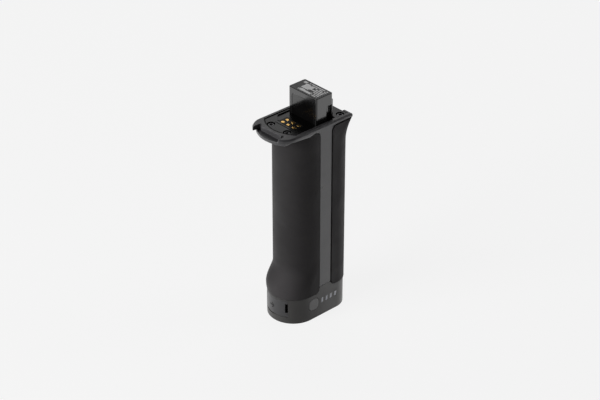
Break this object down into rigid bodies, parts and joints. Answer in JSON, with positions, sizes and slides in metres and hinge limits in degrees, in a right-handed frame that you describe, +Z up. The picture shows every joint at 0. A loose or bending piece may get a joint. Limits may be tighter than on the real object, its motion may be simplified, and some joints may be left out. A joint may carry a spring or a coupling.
{
  "type": "gimbal battery grip",
  "caption": "Hand grip with built-in rechargeable cells for a camera gimbal: rubber covers, raised head with gold contacts, port cover, button and tripod thread.",
  "frame": {"origin": "axis of the tripod thread, in the plane of the base", "axes": "+Z up along the grip; -Y towards the rounded front with the charging port; +X towards the side with the button and charge lights"},
  "size_m": [0.0374, 0.0621, 0.1671],
  "materials": {
    "frame_plastic": "fine spark texture",
    "grip_rubber": "soft, fine grain",
    "foot_plastic": "fine spark texture",
    "insert_metal": "turned",
    "screw_steel": "black oxide",
    "plate_plastic": "matte",
    "black_plastic": "matte",
    "contact_gold": "plated",
    "circuit_board": "solder mask",
    "head_plastic": "fine spark texture",
    "label_film": "printed film",
    "panel_gloss": "gloss",
    "cell_can": "shrink sleeve",
    "nickel": "bright",
    "holder_plastic": "matte",
    "socket_steel": "bright",
    "pin_steel": "drawn",
    "button_plastic": "satin",
    "clear_plastic": "frosted",
    "led_ceramic": "ceramic"
  },
  "bodies": {
    "grip": {"grip_frame": "frame_plastic", "front_grip_cover": "grip_rubber", "rear_grip_cover": "grip_rubber", "foot_cap": "foot_plastic", "tripod_insert": "insert_metal", "foot_screws": "screw_steel", "interface_plate": "plate_plastic", "plate_screws": "screw_steel", "contact_holder": "black_plastic", "gold_contacts": "contact_gold", "contact_board": "circuit_board", "head_shell": "head_plastic", "head_label": "label_film", "head_front_panel": "panel_gloss", "battery_board": "circuit_board", "battery_cells": "cell_can", "cell_tabs": "nickel", "upper_cell_holder": "holder_plastic", "lower_cell_holder": "holder_plastic", "charge_board": "circuit_board", "usb_c_receptacle": "socket_steel", "usb_c_tongue": "black_plastic", "port_cover_pin": "pin_steel", "level_switch": "black_plastic", "button_board": "circuit_board", "led_light_guide": "clear_plastic", "led_chips": "led_ceramic"},
    "level_button": {"level_button": "button_plastic"},
    "port_cover": {"port_cover": "foot_plastic"}
  },
  "joints": [
    {"name": "level_button", "type": "slide", "parent": "grip", "child": "level_button", "axis": [-1, 0, 0], "range_m": [0, 0.0005], "stiffness_N_per_m": 3000},
    {"name": "port_cover", "type": "hinge", "parent": "grip", "child": "port_cover", "pos_m": [-0.00931, -0.02474, 0.0114], "axis": [0, 0, -1], "range_deg": [0, 95]}
  ]
}
